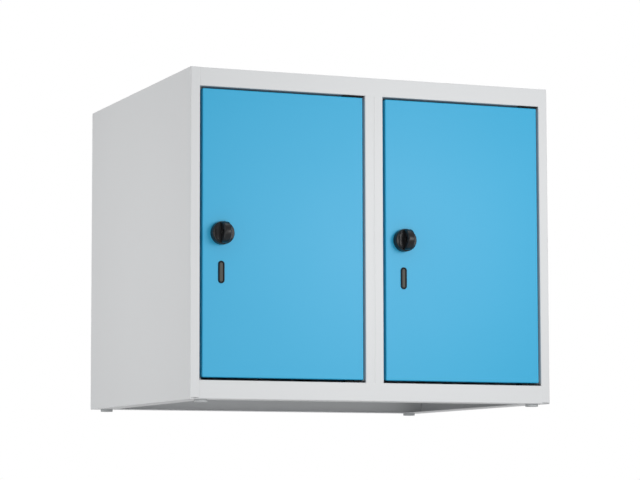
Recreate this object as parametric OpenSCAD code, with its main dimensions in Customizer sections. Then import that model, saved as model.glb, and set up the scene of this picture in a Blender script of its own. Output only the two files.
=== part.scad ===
// Two-door steel locker top box: folded and welded sheet body, two inset doors
// hinged on their right, a padlock turn latch on each door, and four glides.
// Millimetres. +Z is up and the front faces -Y. The origin is the middle of the
// whole object's footprint, on the plane that the feet stand on.

/* [Body] */
// Width over the side panels
body_w = 600; // [560:20:800]
// Depth from the front face to the rear flanges
body_d = 500; // [400:10:600]
// Height of the sheet body, without its feet
body_h = 500; // [400:10:600]
// Thickness of the steel sheet
sheet_t = 1; // [0.8:0.1:1.2]
// Outer radius of a fold
bend_r = 1.5; // [1.4:0.1:2]
// Width of the front face of one post
post_w = 15; // [14:1:20]
// Height of the top rail and of the bottom rail
rail_h = 28.5; // [24:0.5:36]
// Depth of the return behind a post
return_d = 23; // [22.5:0.5:26]
// Width of the stop lip that a closed door meets
lip_w = 10; // [8:1:12]
// Depth of the flange under the front and rear edges, which holds the feet
foot_flange_d = 32; // [30:1:40]
// Width of the flange under each side
side_flange_w = 34; // [20:1:40]
// Distance from the back of the body to the rear skirt of the floor
skirt_in = 22; // [22:1:26]

/* [Doors] */
// Gap between a door and the post on each side
door_side_gap = 4; // [3:0.5:5]
// Gap between a door and the top rail
door_top_gap = 3.5; // [3:0.5:5]
// Gap between a door and the bottom rail
door_bottom_gap = 4; // [3.5:0.5:5]
// Depth of the door's flanges
flange_d = 20; // [18:0.5:20]
// Width of the hem at the back of the side flanges
hem_w = 12; // [8:1:14]
// Width over the stiffener's weld flanges
stiffener_w = 50; // [40:2:80]
// Depth of the stiffener
stiffener_d = 14; // [8:1:16]

/* [Hinges] */
// Radius of a hinge pin
pin_r = 3; // [2:0.5:3.5]
// Distance from the door's right edge to the pin's axis
pin_in = 9.5; // [9:0.5:12]
// Distance from the door's face back to the pin's axis
pin_back = 7; // [6.5:0.5:7.5]
// Radial running clearance of a pin in its bearing
pin_play = 0.05; // [0.02:0.01:0.1]
// Length of a bearing's plate along the rail
bearing_w = 32; // [24:1:40]
// Thickness of a bearing's plate
bearing_t = 2.3; // [2:0.1:2.4]

/* [Locks] */
// Distance from the left edge of a compartment to the lock's axis
lock_x = 49; // [46:1:56]
// Height of the lock's axis in the body
lock_z = 249; // [180:1:300]
// Radius of the rosette on the door
rosette_r = 17.5; // [16:0.5:20]
// How far the rosette's cap stands out in front of the door
cap_out = 12; // [10:0.5:13.5]
// Side of the rosette's square boss
boss_w = 26; // [22:1:26]
// How far the wing stands out in front of the door
wing_out = 32; // [30:1:34]
// Thickness of the wing
wing_t = 11; // [9:0.5:12]
// Radius of the hole in the wing for a padlock's shackle
shackle_r = 4.2; // [3.2:0.1:4.2]
// Length of the cam from the lock's axis
cam_l = 42; // [40:1:44]
// Length of the paint guard under the lock
guard_h = 34; // [24:2:40]
// Width of the paint guard
guard_w = 10; // [8:1:14]
// Distance from the lock's axis down to the middle of the guard
guard_drop = 58.5; // [50:0.5:70]

/* [Feet] */
// Radius of a foot
foot_r = 10; // [8:0.5:12]
// Height of a foot under the body
foot_h = 4; // [3:0.5:8]
// Distance from the side of the body to a foot's axis
foot_in_x = 23; // [21:1:26]
// Distance from the front or back of the body to a foot's axis
foot_in_y = 18; // [16:0.5:18]

/* [Hidden] */
$fn = 48;

body_grey = "#d9dbdc";
door_blue = "#54aedc";
lock_black = "#26282a";
guard_grey = "#7d7d7c";
foot_grey = "#c3c6c7";
zinc = "#b4b8ba";
pin_black = "#303234";
rubber = "#3a3c3e";

LEFT = 0;
RIGHT = 1;
half_t = sheet_t / 2;
fold_r = bend_r - half_t;
cut = 1; // how far a cutter runs past what it cuts

// The body's front left bottom corner, and the two compartments
front_y = wing_out - (body_d + wing_out) / 2;
bay_w = body_w / 2;
sill_z = rail_h;
head_z = body_h - rail_h;
post_foot_z = 2; // the posts' faces stop this far above the bottom edge
rail_return_d = return_d + 2;
rail_upturn_h = 13;
tab_h = 18; // the rails' weld tabs, which lie against the posts
tab_y0 = 12;
tab_relief = 2;
rear_flange_w = post_w;
back_y = body_d - sheet_t; // rear face of the back panel
skirt_y = body_d - skirt_in;

// Door
door_x0 = post_w + door_side_gap;
door_x1 = bay_w - post_w - door_side_gap;
door_z0 = sill_z + door_bottom_gap;
door_z1 = head_z - door_top_gap;
corner_relief = bend_r + 0.5; // the small open notch where three folds meet
stiffener_end = 10;
stiffener_x = (door_x0 + door_x1) / 2;

// Hinge
pin_x = door_x1 - pin_in;
bearing_x1 = bay_w - post_w - sheet_t - 0.2;
bearing_y0 = sheet_t + 0.5;
bearing_y1 = return_d - 2;
bearing_boss_r = pin_back - sheet_t - 0.5;
bearing_boss_h = 5.5;
bearing_collar_r = 5;
bearing_collar_h = door_bottom_gap - bearing_t - 0.2;
pin_flange_r = 5.5;
pin_flange_t = 2;
pin_in_door = 8;
pin_in_boss = 4.5;

// Lock
cap_edge_r = 2;
boss_out = 14.5;
boss_corner_r = 6;
neck_r = 9;
neck_end = 9;
shaft_r = 5;
shaft_play = 0.05;
wing_r = 16;
wing_foot_r = 12;
wing_foot_t = 1.2;
wing_gap = 0.3;
shackle_out = 21;
nut_af = 24;
nut_t = 5;
thread_play = 0.05;
cam_t = 2.5;
cam_w = 18;
cam_y = return_d + 0.5; // the cam turns just behind the stop lip
cam_square = 7;
screw_head_r = 4.5;
screw_head_t = 2.6;
screw_r = 2.4;
screw_l = 12;
guard_out = 1.6;
guard_rim_w = 2.4;
guard_pad_out = 1.1;

// Buffers on the stop lip
buffer_r = 2.8;
buffer_t = return_d - sheet_t - flange_d - 0.3;
buffer_z = [110, 390];

foot_chamfer = 0.8;
foot_stem_r = 3;
foot_stem_h = 5;

// Moves what is drawn from the body's front left bottom corner to the object's frame
module in_body() {
    translate([-body_w / 2, front_y, foot_h]) children();
}

// The same, from the left edge of one compartment
module in_bay(bay) {
    in_body() translate([bay * bay_w, 0, 0]) children();
}

// The same, from the point where one lock's axis meets the door's face
module at_lock(bay) {
    in_bay(bay) translate([lock_x, 0, lock_z]) children();
}

// A round bar along Y
module bar_y(y0, y1, r) {
    translate([0, y0, 0]) rotate([-90, 0, 0]) cylinder(h = y1 - y0, r = r);
}

// A quarter ring where a sheet turns from one direction to another
module fold(corner, from, to) {
    outward = from - to;
    translate(corner - fold_r * outward) intersection() {
        difference() {
            circle(r = bend_r);
            circle(r = bend_r - sheet_t);
        }
        translate([outward.x > 0 ? 0 : -2 * bend_r, outward.y > 0 ? 0 : -2 * bend_r])
            square(2 * bend_r);
    }
}

// A sheet seen end-on, along right-angled points on its middle line
module folded_sheet(points) {
    last = len(points) - 1;
    for (i = [0 : last - 1]) {
        run = points[i + 1] - points[i];
        start = i == 0 ? 0 : fold_r;
        end = i == last - 1 ? 0 : fold_r;
        translate(points[i]) rotate(atan2(run.y, run.x)) translate([start, -half_t])
            square([norm(run) - start - end, sheet_t]);
    }
    for (i = [1 : last - 1]) {
        from = points[i] - points[i - 1];
        to = points[i + 1] - points[i];
        fold(points[i], from / norm(from), to / norm(to));
    }
}

// A folded sheet that runs along X, drawn in its YZ section
module along_x(x0, x1) {
    translate([x0, 0, 0]) rotate([90, 0, 90]) linear_extrude(x1 - x0) children();
}

// Section of the front post: its face and return, and a stop lip on the lock side
function post_section(lip) = concat(
    lip ? [[post_w + lip_w, return_d - half_t], [post_w - half_t, return_d - half_t]]
        : [[post_w - half_t, return_d]],
    [[post_w - half_t, half_t], [half_t, half_t]]
);

// Side panel with its left face at X 0: post, web, rear flange, and top and bottom flanges
module side_sheet(lip) {
    difference() {
        linear_extrude(body_h) folded_sheet(concat(post_section(lip),
            [[half_t, body_d - half_t], [rear_flange_w, body_d - half_t]]));
        // the notch at the post's foot
        translate([bend_r, -cut, -cut])
            cube([post_w + lip_w, return_d + 2 * cut, post_foot_z + cut]);
        // the stop lip ends at the rails, and the return under the top
        for (z = [0, head_z])
            translate([post_w, sheet_t + cut, z]) cube([lip_w + cut, return_d, rail_h]);
        translate([bend_r, sheet_t, body_h - sheet_t])
            cube([post_w, return_d, sheet_t + cut]);
    }
    translate([half_t, foot_flange_d + 1, 0])
        cube([side_flange_w - half_t, skirt_y - foot_flange_d - 12, sheet_t]);
    translate([half_t, return_d + 1, body_h - 2 * sheet_t])
        cube([rear_flange_w - half_t, back_y - return_d - 2 * sheet_t, sheet_t]);
}

module side_panel_left() {
    color(body_grey) in_body() side_sheet(true);
}

module side_panel_right() {
    color(body_grey) in_body() translate([body_w, 0, 0]) mirror([1, 0, 0]) side_sheet(false);
}

// One leaf of the partition with its back at X 0: half of the middle post, and the web
module partition_leaf(lip) {
    translate([0, 0, sill_z]) linear_extrude(head_z - sill_z)
        folded_sheet(concat(post_section(lip), [[half_t, back_y - sheet_t]]));
    translate([0, rail_return_d + 0.5, head_z])
        cube([sheet_t, back_y - sheet_t - rail_return_d - 0.5, rail_h - sheet_t]);
}

module partition_left() {
    color(body_grey) in_bay(RIGHT) mirror([1, 0, 0]) partition_leaf(false);
}

module partition_right() {
    color(body_grey) in_bay(RIGHT) partition_leaf(true);
}

// Round holes for the bosses of both bearings at one height
module bearing_holes(z) {
    for (bay = [LEFT, RIGHT])
        translate([bay * bay_w + pin_x, pin_back, z - cut])
            cylinder(h = sheet_t + 2 * cut, r = bearing_boss_r + 0.2);
}

// Tabs at the ends of a rail in both compartments, drawn upwards from its return at Z 0
module weld_tabs() {
    for (bay = [LEFT, RIGHT], x = [post_w, bay_w - post_w - sheet_t])
        translate([bay * bay_w + x, 0, 0]) {
            translate([0, tab_y0, tab_relief])
                cube([sheet_t, return_d - sheet_t - 0.5 - tab_y0, tab_h - tab_relief]);
            translate([0, tab_y0 + tab_relief, -half_t])
                cube([sheet_t, return_d - sheet_t - 0.5 - tab_y0 - tab_relief, tab_h]);
        }
}

// Top with its front rail and rear flange in one sheet
module top_panel() {
    color(body_grey) in_body() difference() {
        union() {
            along_x(post_w, body_w - post_w) folded_sheet([
                [rail_return_d - half_t, head_z + rail_upturn_h],
                [rail_return_d - half_t, head_z + half_t],
                [half_t, head_z + half_t],
                [half_t, body_h - half_t],
                [body_d - half_t, body_h - half_t],
                [body_d - half_t, body_h - rail_h],
            ]);
            for (x = [bend_r, body_w - post_w])
                translate([x, sheet_t, body_h - sheet_t])
                    cube([post_w - bend_r, back_y - bend_r, sheet_t]);
            translate([0, 0, head_z]) mirror([0, 0, 1]) weld_tabs();
        }
        bearing_holes(head_z);
    }
}

// Floor with its front rail, front foot flange, side skirts and rear skirt
module floor_panel() {
    color(body_grey) in_body() difference() {
        union() {
            along_x(post_w, body_w - post_w) folded_sheet([
                [foot_flange_d, half_t],
                [half_t, half_t],
                [half_t, sill_z - half_t],
                [skirt_y - half_t, sill_z - half_t],
                [skirt_y - half_t, sheet_t],
            ]);
            for (side = [0, 1])
                translate([side * body_w, 0, 0]) mirror([side, 0, 0]) floor_end();
            translate([0, 0, sill_z]) weld_tabs();
        }
        bearing_holes(sill_z - sheet_t);
        for (side = [0, 1])
            translate([side == 0 ? foot_in_x : body_w - foot_in_x, foot_in_y, -cut])
                cylinder(h = sheet_t + 2 * cut, r = foot_stem_r + 0.1);
    }
}

// The end of the floor that reaches behind a post to the side panel
module floor_end() {
    translate([sheet_t, return_d + 1, sill_z - sheet_t])
        cube([post_w - sheet_t, skirt_y - bend_r - return_d - 1, sheet_t]);
    translate([sheet_t, foot_flange_d + 1, sheet_t])
        cube([sheet_t, skirt_y - bend_r - foot_flange_d - 1, sill_z - sheet_t]);
    translate([sheet_t, skirt_y - sheet_t, sheet_t])
        cube([post_w - sheet_t, sheet_t, sill_z - 2 * sheet_t]);
    translate([bend_r, sheet_t, 0])
        cube([post_w - bend_r, foot_flange_d - sheet_t, sheet_t]);
}

// Back with its foot flange, between the rear flanges and the compartments
module back_panel() {
    color(body_grey) in_body() difference() {
        along_x(bend_r, body_w - bend_r) folded_sheet([
            [back_y - half_t, body_h - 2 * sheet_t],
            [back_y - half_t, half_t],
            [body_d - foot_flange_d, half_t],
        ]);
        for (x = [foot_in_x, body_w - foot_in_x])
            translate([x, body_d - foot_in_y, -cut])
                cylinder(h = sheet_t + 2 * cut, r = foot_stem_r + 0.1);
    }
}

// Plastic glide: a low disc and the stem that presses into its flange
module foot(x, y) {
    color(foot_grey) in_body() translate([x, y, -foot_h]) {
        cylinder(h = foot_chamfer, r1 = foot_r - foot_chamfer, r2 = foot_r);
        translate([0, 0, foot_chamfer]) cylinder(h = foot_h - foot_chamfer, r = foot_r);
        translate([0, 0, foot_h]) cylinder(h = foot_stem_h, r = foot_stem_r);
    }
}

// Plastic hinge bearing on a rail, drawn upwards from the rail's face at Z 0
module bearing(collar_h) {
    difference() {
        union() {
            translate([bearing_x1 - bearing_w, bearing_y0, 0])
                cube([bearing_w, bearing_y1 - bearing_y0, bearing_t]);
            translate([pin_x, pin_back, -bearing_boss_h])
                cylinder(h = bearing_boss_h, r = bearing_boss_r);
            if (collar_h > 0)
                translate([pin_x, pin_back, bearing_t])
                    cylinder(h = collar_h, r = bearing_collar_r);
        }
        translate([pin_x, pin_back, -bearing_boss_h - cut])
            cylinder(h = bearing_boss_h + bearing_t + collar_h + 2 * cut, r = pin_r + pin_play);
    }
}

module bearing_bottom(bay) {
    color(lock_black) in_bay(bay) translate([0, 0, sill_z]) bearing(bearing_collar_h);
}

module bearing_top(bay) {
    color(lock_black) in_bay(bay) translate([0, 0, head_z]) mirror([0, 0, 1]) bearing(0);
}

// Steel hinge pin, drawn upwards from the outer face of the door's flange at Z 0
module hinge_pin(gap) {
    translate([pin_x, pin_back, -gap - pin_in_boss])
        cylinder(h = gap + pin_in_boss + sheet_t + pin_in_door, r = pin_r);
    translate([pin_x, pin_back, sheet_t])
        cylinder(h = pin_flange_t, r = pin_flange_r);
}

module hinge_pin_bottom(bay) {
    color(pin_black) in_bay(bay) translate([0, 0, door_z0]) hinge_pin(door_bottom_gap);
}

module hinge_pin_top(bay) {
    color(pin_black) in_bay(bay) translate([0, 0, door_z1]) mirror([0, 0, 1])
        hinge_pin(door_top_gap);
}

// Two small rubber pads that a closing door meets on the stop lip
module buffers(bay) {
    color(rubber) in_bay(bay)
        for (z = buffer_z)
            translate([door_x0 + buffer_r + 0.2, return_d - sheet_t - buffer_t, z])
                bar_y(0, buffer_t, buffer_r);
}

// Top or bottom edge of the door, drawn upwards from Z 0
module door_end() {
    along_x(door_x0 + bend_r, door_x1 - bend_r)
        folded_sheet([[flange_d, half_t], [half_t, half_t], [half_t, corner_relief]]);
}

// Door tray: face, four flanges and the hems of the side flanges
module door_skin(bay) {
    color(door_blue) in_bay(bay) difference() {
        union() {
            translate([0, 0, door_z0 + corner_relief])
                linear_extrude(door_z1 - door_z0 - 2 * corner_relief) folded_sheet([
                    [door_x0 + hem_w, flange_d - half_t],
                    [door_x0 + half_t, flange_d - half_t],
                    [door_x0 + half_t, half_t],
                    [door_x1 - half_t, half_t],
                    [door_x1 - half_t, flange_d - half_t],
                    [door_x1 - hem_w, flange_d - half_t],
                ]);
            translate([0, 0, door_z0]) door_end();
            translate([0, 0, door_z1]) mirror([0, 0, 1]) door_end();
        }
        translate([lock_x, 0, lock_z]) bar_y(-cut, sheet_t + cut, neck_r + 0.1);
        for (z = [door_z0, door_z1 - sheet_t])
            translate([pin_x, pin_back, z - cut])
                cylinder(h = sheet_t + 2 * cut, r = pin_r + 0.1);
    }
}

// Upright hat section welded to the inside of the door
module door_stiffener(bay) {
    half_w = stiffener_w / 2;
    crown = half_w - 10;
    foot_y = sheet_t + half_t;
    crown_y = sheet_t + stiffener_d - half_t;
    color(door_blue) in_bay(bay) translate([stiffener_x, 0, door_z0 + stiffener_end])
        linear_extrude(door_z1 - door_z0 - 2 * stiffener_end) folded_sheet([
            [-half_w, foot_y], [-crown, foot_y], [-crown, crown_y],
            [crown, crown_y], [crown, foot_y], [half_w, foot_y],
        ]);
}

// Upright oblong, w wide and h high, from y0 to y1
module oblong_y(w, h, y0, y1) {
    translate([0, y1, 0]) rotate([90, 0, 0]) linear_extrude(y1 - y0) union() {
        square([w, h - w], center = true);
        for (end = [-1, 1]) translate([0, end * (h - w) / 2]) circle(d = w);
    }
}

module guard_rim(bay) {
    color(lock_black) at_lock(bay) translate([0, 0, -guard_drop]) difference() {
        oblong_y(guard_w, guard_h, -guard_out, 0);
        oblong_y(guard_w - 2 * guard_rim_w, guard_h - 2 * guard_rim_w, -guard_out - cut, cut);
    }
}

module guard_pad(bay) {
    color(guard_grey) at_lock(bay) translate([0, 0, -guard_drop])
        oblong_y(guard_w - 2 * guard_rim_w, guard_h - 2 * guard_rim_w, -guard_pad_out, 0);
}

// Half section of the rosette's cap, from its axis out, with a round front edge
module cap_section() {
    square([rosette_r - cap_edge_r, cap_out]);
    square([rosette_r, cap_out - cap_edge_r]);
    translate([rosette_r - cap_edge_r, cap_out - cap_edge_r]) circle(r = cap_edge_r);
}

// Fixed rosette: cap and square boss in front of the door, threaded neck through it
module lock_rosette(bay) {
    color(lock_black) at_lock(bay) difference() {
        union() {
            rotate([90, 0, 0]) rotate_extrude() cap_section();
            bar_y(0, neck_end, neck_r);
            translate([0, -cap_out, 0]) rotate([90, 0, 0]) linear_extrude(boss_out - cap_out)
                boss_outline();
        }
        bar_y(-boss_out - cut, neck_end + cut, shaft_r + shaft_play);
    }
}

module boss_outline() {
    inner = boss_w - 2 * boss_corner_r;
    square([boss_w, inner], center = true);
    square([inner, boss_w], center = true);
    for (x = [-inner / 2, inner / 2], z = [-inner / 2, inner / 2])
        translate([x, z]) circle(r = boss_corner_r);
}

module lock_nut(bay) {
    color(zinc) at_lock(bay) difference() {
        translate([0, sheet_t, 0]) rotate([-90, 0, 0])
            cylinder(h = nut_t, d = nut_af / cos(30), $fn = 6);
        bar_y(0, sheet_t + nut_t + cut, neck_r + thread_play);
    }
}

// Turning knob: wing with its shackle hole, round foot, shaft and square end
module lock_knob(bay) {
    wing_base = -boss_out - wing_gap;
    color(lock_black) at_lock(bay) difference() {
        union() {
            intersection() {
                translate([-wing_t / 2, wing_r - wing_out, 0]) rotate([0, 90, 0])
                    cylinder(h = wing_t, r = wing_r);
                translate([-wing_t, -wing_out - cut, -wing_r - cut])
                    cube([2 * wing_t, wing_base + wing_out + cut, 2 * (wing_r + cut)]);
            }
            bar_y(wing_base - wing_foot_t, wing_base, wing_foot_r);
            bar_y(wing_base, cam_y, shaft_r);
            translate([-cam_square / 2, cam_y, -cam_square / 2])
                cube([cam_square, cam_t, cam_square]);
        }
        translate([-wing_t, -shackle_out, 0]) rotate([0, 90, 0])
            cylinder(h = 2 * wing_t, r = shackle_r);
        bar_y(cam_y + cam_t - screw_l, cam_y + cam_t + cut, screw_r);
    }
}

// Flat steel cam: hangs down when the door is free, points left behind the lip when locked
module lock_cam(bay) {
    tip = cam_l - cam_w / 2;
    color(zinc) at_lock(bay) difference() {
        union() {
            bar_y(cam_y, cam_y + cam_t, cam_w / 2);
            translate([0, 0, -tip]) bar_y(cam_y, cam_y + cam_t, cam_w / 2);
            translate([-cam_w / 2, cam_y, -tip]) cube([cam_w, cam_t, tip]);
        }
        translate([-cam_square / 2, cam_y - cut, -cam_square / 2])
            cube([cam_square, cam_t + 2 * cut, cam_square]);
    }
}

module cam_screw(bay) {
    screw_y = cam_y + cam_t;
    color(zinc) at_lock(bay) {
        bar_y(screw_y, screw_y + screw_head_t, screw_head_r);
        bar_y(screw_y - screw_l + 0.5, screw_y, screw_r);
    }
}

side_panel_left();
side_panel_right();
partition_left();
partition_right();
top_panel();
floor_panel();
back_panel();
foot(foot_in_x, foot_in_y);  // foot_front_left
foot(body_w - foot_in_x, foot_in_y);  // foot_front_right
foot(foot_in_x, body_d - foot_in_y);  // foot_rear_left
foot(body_w - foot_in_x, body_d - foot_in_y);  // foot_rear_right
bearing_top(LEFT);  // left_bearing_top
bearing_bottom(LEFT);  // left_bearing_bottom
bearing_top(RIGHT);  // right_bearing_top
bearing_bottom(RIGHT);  // right_bearing_bottom
buffers(LEFT);  // left_buffers
buffers(RIGHT);  // right_buffers
door_skin(LEFT);  // left_door_skin
door_stiffener(LEFT);  // left_door_stiffener
hinge_pin_top(LEFT);  // left_hinge_pin_top
hinge_pin_bottom(LEFT);  // left_hinge_pin_bottom
guard_rim(LEFT);  // left_guard_rim
guard_pad(LEFT);  // left_guard_pad
lock_rosette(LEFT);  // left_lock_rosette
lock_nut(LEFT);  // left_lock_nut
lock_knob(LEFT);  // left_lock_knob
lock_cam(LEFT);  // left_lock_cam
cam_screw(LEFT);  // left_cam_screw
door_skin(RIGHT);  // right_door_skin
door_stiffener(RIGHT);  // right_door_stiffener
hinge_pin_top(RIGHT);  // right_hinge_pin_top
hinge_pin_bottom(RIGHT);  // right_hinge_pin_bottom
guard_rim(RIGHT);  // right_guard_rim
guard_pad(RIGHT);  // right_guard_pad
lock_rosette(RIGHT);  // right_lock_rosette
lock_nut(RIGHT);  // right_lock_nut
lock_knob(RIGHT);  // right_lock_knob
lock_cam(RIGHT);  // right_lock_cam
cam_screw(RIGHT);  // right_cam_screw
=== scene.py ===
"""A two-door steel locker top box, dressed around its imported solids.

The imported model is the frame. Its folded sheets and bearings keep their solids as they
are, and its hinge pins, nuts, cams and buffers get eased edges; all of them get their
finishes here. The padlock knobs, their escutcheons, the paint guards, the cam bolts and
the glides are detailed meshes that replace their plain solids. The welds of the front
and of the door corners are added. Everything is in metres in the model's frame: +Z up,
and the doors face -Y.
"""

from __future__ import annotations

import logging
import math
from dataclasses import dataclass, field
from enum import Enum
from itertools import product
from typing import Any, Iterable

import bmesh
import bpy
from mathutils import Matrix, Vector

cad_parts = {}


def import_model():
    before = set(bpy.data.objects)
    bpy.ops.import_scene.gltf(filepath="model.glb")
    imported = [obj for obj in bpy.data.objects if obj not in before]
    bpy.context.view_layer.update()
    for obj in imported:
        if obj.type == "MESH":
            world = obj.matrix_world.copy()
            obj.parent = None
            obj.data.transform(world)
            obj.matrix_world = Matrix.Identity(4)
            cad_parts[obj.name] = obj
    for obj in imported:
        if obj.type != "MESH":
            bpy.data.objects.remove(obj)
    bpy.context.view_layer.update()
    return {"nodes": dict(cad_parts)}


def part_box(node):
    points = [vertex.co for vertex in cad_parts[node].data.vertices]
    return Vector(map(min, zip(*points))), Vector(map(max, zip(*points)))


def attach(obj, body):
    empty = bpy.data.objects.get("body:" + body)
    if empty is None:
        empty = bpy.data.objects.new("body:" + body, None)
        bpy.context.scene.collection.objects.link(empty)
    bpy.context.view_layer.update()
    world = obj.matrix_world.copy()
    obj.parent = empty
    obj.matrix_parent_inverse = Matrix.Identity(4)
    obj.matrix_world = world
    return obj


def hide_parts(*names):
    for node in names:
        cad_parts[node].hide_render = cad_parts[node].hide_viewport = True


log = logging.getLogger("locker_box")

MM = 0.001

# Edges that turn further than this are sharp, and points nearer than this are one
SHARP_DEG = 32.0
SEAM_GAP = 0.002 * MM

Colour = tuple[float, float, float]
Point2 = tuple[float, float]
Point3 = tuple[float, float, float]
Ring = list[bmesh.types.BMVert]
WHITE: Colour = (1.0, 1.0, 1.0)

# Axes of the pieces on a door: local +Z points out of the door, or into it
OUTWARD = Matrix.Rotation(math.radians(90), 4, "X")
INWARD = Matrix.Rotation(math.radians(-90), 4, "X")


class Side(Enum):
    """The two compartments, as their nodes' names begin."""

    LEFT = "left"
    RIGHT = "right"


class Slot(Enum):
    """Names of the record's material slots for the new pieces' finishes."""

    BODY = "body_paint"
    DOOR = "door_paint"
    LOCK = "lock_plastic"
    GUARD = "guard_plastic"
    FOOT = "foot_plastic"
    ZINC = "zinc_steel"


class Join(Enum):
    """How one closed mesh is joined to another."""

    UNION = "UNION"
    DIFFERENCE = "DIFFERENCE"


# ---------------------------------------------------------------- shader maths


class Signal:
    """A number that a node works out, carried on by Python's operators."""

    def __init__(self, graph: Graph, socket: bpy.types.NodeSocket) -> None:
        """Wraps the output socket of a node in that graph."""
        self.graph = graph
        self.socket = socket

    def math(self, operation: str, *terms: Signal | float) -> Signal:
        """Adds a Math node that starts with this number.

        Args:
            operation: The Math node's operation.
            terms: The other numbers that it takes.

        Returns:
            The node's result.
        """
        inputs = dict(enumerate((self, *terms)))
        return self.graph.signal("ShaderNodeMath", {"operation": operation}, inputs)

    def __add__(self, other: Signal | float) -> Signal:
        """Sum."""
        return self.math("ADD", other)

    def __mul__(self, other: Signal | float) -> Signal:
        """Product."""
        return self.math("MULTIPLY", other)

    def __sub__(self, other: Signal | float) -> Signal:
        """Difference."""
        return self.math("SUBTRACT", other)

    def __rsub__(self, other: float) -> Signal:
        """A number less this one."""
        return self.math("MULTIPLY", -1.0) + other

    __radd__ = __add__
    __rmul__ = __mul__


class Graph:
    """The nodes of one material or world."""

    def __init__(self, tree: bpy.types.NodeTree) -> None:
        """Empties the tree and holds it."""
        self.tree = tree
        tree.nodes.clear()

    def node(
        self,
        kind: str,
        settings: dict[str, Any] | None = None,
        inputs: dict[str | int, Any] | None = None,
    ) -> bpy.types.Node:
        """Adds a node.

        Args:
            kind: The node's type.
            settings: Its attributes, such as a Math node's operation.
            inputs: Values or links of its sockets, by name or number.

        Returns:
            The node.
        """
        node = self.tree.nodes.new(kind)
        for name, value in (settings or {}).items():
            setattr(node, name, value)
        for name, value in (inputs or {}).items():
            given = value.socket if isinstance(value, Signal) else value
            if isinstance(given, bpy.types.NodeSocket):
                self.tree.links.new(given, node.inputs[name])
            else:
                node.inputs[name].default_value = given
        return node

    def signal(
        self,
        kind: str,
        settings: dict[str, Any] | None = None,
        inputs: dict[str | int, Any] | None = None,
        output: str | int = 0,
    ) -> Signal:
        """Adds a node and takes one of its outputs as a number.

        Args:
            kind: The node's type.
            settings: Its attributes.
            inputs: Values or links of its sockets, by name or number.
            output: The output's name or number.

        Returns:
            The output.
        """
        return Signal(self, self.node(kind, settings, inputs).outputs[output])

    def noise(self, vector: Any, per_metre: float, detail: float = 2.0) -> Signal:
        """Noise from 0 to 1.

        Args:
            vector: The coordinates that it follows.
            per_metre: How many blotches it has in a metre.
            detail: How many finer layers it has.

        Returns:
            The noise.
        """
        inputs = {"Vector": vector, "Scale": per_metre, "Detail": detail}
        return self.signal("ShaderNodeTexNoise", None, inputs)

    def mix(self, factor: Signal | float, first: Any, second: Any) -> bpy.types.NodeSocket:
        """Mixes two colours.

        Args:
            factor: How much of the second, from 0 to 1.
            first: The first colour, or a link of one.
            second: The second.

        Returns:
            The link of the mixed colour.
        """
        mixer = self.node("ShaderNodeMix", {"data_type": "RGBA"}, {0: factor, 6: first, 7: second})
        return mixer.outputs[2]


def rgba(colour: Colour) -> tuple[float, float, float, float]:
    """That colour with full alpha."""
    return (*colour, 1.0)


def darker(colour: Colour, share: float) -> Colour:
    """That colour times a share from 0 to 1."""
    return tuple(channel * share for channel in colour)


# ---------------------------------------------------------------- finishes

# Mean of a noise
MIDDLE = 0.5


@dataclass(frozen=True)
class Finish:
    """What every finish has: its look is drawn on the piece's own coordinates."""

    name: str
    colour: Colour
    roughness: float

    def material(self) -> bpy.types.Material:
        """Makes the finish's material.

        Returns:
            The material.
        """
        made = bpy.data.materials.new(self.name)
        made.use_nodes = True
        made.diffuse_color = rgba(self.colour)
        graph = Graph(made.node_tree)
        place = graph.node("ShaderNodeTexCoord").outputs["Object"]
        shader = graph.node("ShaderNodeBsdfPrincipled", None, self.surface(graph, place))
        graph.node("ShaderNodeOutputMaterial", None, {"Surface": shader.outputs[0]})
        return made

    def surface(self, graph: Graph, place: bpy.types.NodeSocket) -> dict[str, Any]:
        """What the shader's sockets take; each finish gives its own."""
        raise NotImplementedError

    @staticmethod
    def bump(graph: Graph, height: Signal, depth: float) -> bpy.types.NodeSocket:
        """Normal of a relief.

        Args:
            graph: The material's nodes.
            height: The relief, from 0 to 1.
            depth: How deep it is, in metres.

        Returns:
            The link for the shader's Normal.
        """
        inputs = {"Strength": 1.0, "Distance": depth, "Height": height}
        return graph.node("ShaderNodeBump", None, inputs).outputs[0]


@dataclass(frozen=True)
class PowderCoat(Finish):
    """Powder coat on steel: even colour, faint clouding and a fine orange peel."""

    clouds_per_metre: float = 5.0
    grain_per_metre: float = 1900.0
    cloud_share: float = 0.6
    grain_share: float = 0.2
    shade: float = 0.97
    uneven: float = 0.05
    peel_per_metre: float = 420.0
    peel_depth: float = 0.012 * MM
    specular: float = 0.4

    def surface(self, graph: Graph, place: bpy.types.NodeSocket) -> dict[str, Any]:
        """Clouded colour, roughness that follows the clouds, and the peel's relief.

        Args:
            graph: The material's nodes.
            place: The piece's own coordinates.

        Returns:
            The sockets' values and links, by name.
        """
        clouds = graph.noise(place, self.clouds_per_metre, 3.0)
        grain = graph.noise(place, self.grain_per_metre, 1.0)
        peel = graph.noise(place, self.peel_per_metre, 2.0)
        cover = clouds * self.cloud_share + grain * self.grain_share
        return {
            "Base Color": graph.mix(cover, rgba(self.colour), rgba(darker(self.colour, self.shade))),
            "Roughness": (clouds - MIDDLE) * self.uneven + self.roughness,
            "Specular IOR Level": self.specular,
            "Normal": self.bump(graph, peel, self.peel_depth),
        }


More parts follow.
